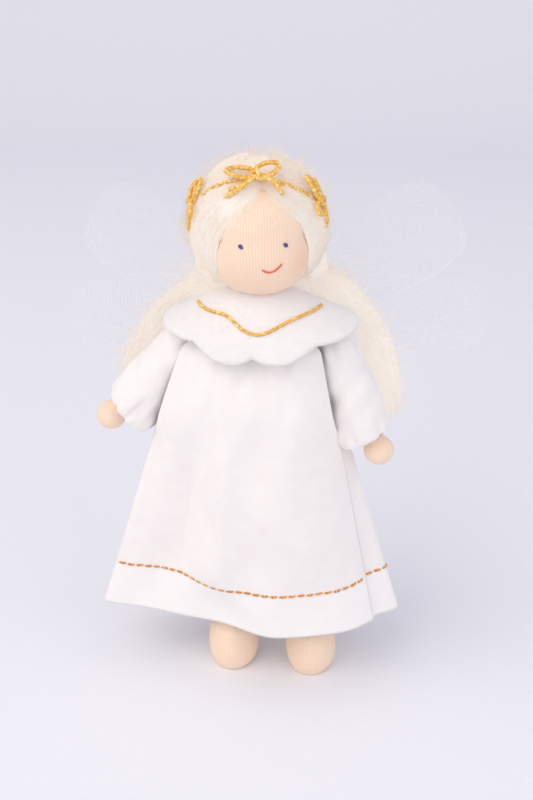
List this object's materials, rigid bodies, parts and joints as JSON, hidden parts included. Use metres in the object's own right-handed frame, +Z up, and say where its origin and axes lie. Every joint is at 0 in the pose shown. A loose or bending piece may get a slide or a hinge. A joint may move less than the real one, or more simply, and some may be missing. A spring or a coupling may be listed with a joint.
{
  "type": "cloth fairy doll",
  "caption": "Standing stuffed cloth fairy doll in a white dress with felt collar, wool hair, gold cord garland and tulle wings; head, arms, legs and wings move.",
  "frame": {"origin": "on the floor under the middle of the doll's outer box", "axes": "+Z up, -Y the way the doll's body faces, +X the doll's left side"},
  "size_m": [0.117, 0.0426, 0.1507],
  "materials": {
    "knit_skin": "matte",
    "wool_stuffing": "matte",
    "wool_hair": "matte",
    "white_cotton": "matte",
    "white_felt": "matte",
    "tulle": "matte",
    "gold_cord": "matte",
    "copper_thread": "matte",
    "sewing_thread": "matte",
    "elastic": "matte",
    "blue_thread": "matte",
    "red_thread": "matte"
  },
  "bodies": {
    "torso": {"torso_stuffing": "wool_stuffing", "torso_skin": "knit_skin", "right_shoulder_thread": "sewing_thread", "left_shoulder_thread": "sewing_thread", "hip_thread": "sewing_thread", "dress_front": "white_cotton", "dress_back": "white_cotton", "hem_stitches": "copper_thread", "collar": "white_felt", "collar_gold_line": "gold_cord", "wing_gather": "tulle", "wing_binding_thread": "sewing_thread"},
    "head": {"head_core": "wool_stuffing", "eye_line_thread": "sewing_thread", "neck_roll": "wool_stuffing", "head_skin": "knit_skin", "neck_thread": "sewing_thread", "right_eye": "blue_thread", "left_eye": "blue_thread", "mouth": "red_thread", "hair_cap": "wool_hair", "right_hair_fall": "wool_hair", "left_hair_fall": "wool_hair", "garland_band": "gold_cord", "front_bow": "gold_cord", "right_bow": "gold_cord", "left_bow": "gold_cord"},
    "right_arm": {"right_arm_stuffing": "wool_stuffing", "right_arm_skin": "knit_skin", "right_wrist_thread": "sewing_thread", "right_sleeve": "white_cotton", "right_cuff_elastic": "elastic"},
    "left_arm": {"left_arm_stuffing": "wool_stuffing", "left_arm_skin": "knit_skin", "left_wrist_thread": "sewing_thread", "left_sleeve": "white_cotton", "left_cuff_elastic": "elastic"},
    "right_leg": {"right_leg_stuffing": "wool_stuffing", "right_leg_skin": "knit_skin", "right_ankle_thread": "sewing_thread"},
    "left_leg": {"left_leg_stuffing": "wool_stuffing", "left_leg_skin": "knit_skin", "left_ankle_thread": "sewing_thread"},
    "right_wing": {"right_wing": "tulle"},
    "left_wing": {"left_wing": "tulle"}
  },
  "joints": [
    {"name": "head_turn", "type": "hinge", "parent": "torso", "child": "head", "pos_m": [0, -0.0036, 0.1035], "axis": [0, 0, 1], "range_deg": [-57, 23], "deforming": ["right_hair_fall", "left_hair_fall"]},
    {"name": "right_arm_raise", "type": "hinge", "parent": "torso", "child": "right_arm", "pos_m": [-0.0175, -0.0036, 0.1035], "axis": [0, 1, 0], "range_deg": [-1, 35]},
    {"name": "left_arm_raise", "type": "hinge", "parent": "torso", "child": "left_arm", "pos_m": [0.0175, -0.0036, 0.1035], "axis": [0, -1, 0], "range_deg": [-2, 56]},
    {"name": "left_hip", "type": "hinge", "parent": "torso", "child": "left_leg", "pos_m": [0.0095, -0.0036, 0.0475], "axis": [-1, 0, 0], "range_deg": [-8, 85], "deforming": ["dress_front", "dress_back", "hem_stitches"]},
    {"name": "right_hip", "type": "hinge", "parent": "torso", "child": "right_leg", "pos_m": [-0.0095, -0.0036, 0.0475], "axis": [-1, 0, 0], "range_deg": [-8, 85]},
    {"name": "right_wing_flap", "type": "hinge", "parent": "torso", "child": "right_wing", "pos_m": [-0.0026, 0.0179, 0.1005], "axis": [0, 0, -1], "range_deg": [-5, 40], "stiffness_Nm_per_rad": 0.0005},
    {"name": "left_wing_flap", "type": "hinge", "parent": "torso", "child": "left_wing", "pos_m": [0.0026, 0.0179, 0.1005], "axis": [0, 0, 1], "range_deg": [-5, 40], "stiffness_Nm_per_rad": 0.0005}
  ],
  "couplings": [
    {"joint": "right_hip", "follows": "left_hip", "ratio": 1}
  ]
}
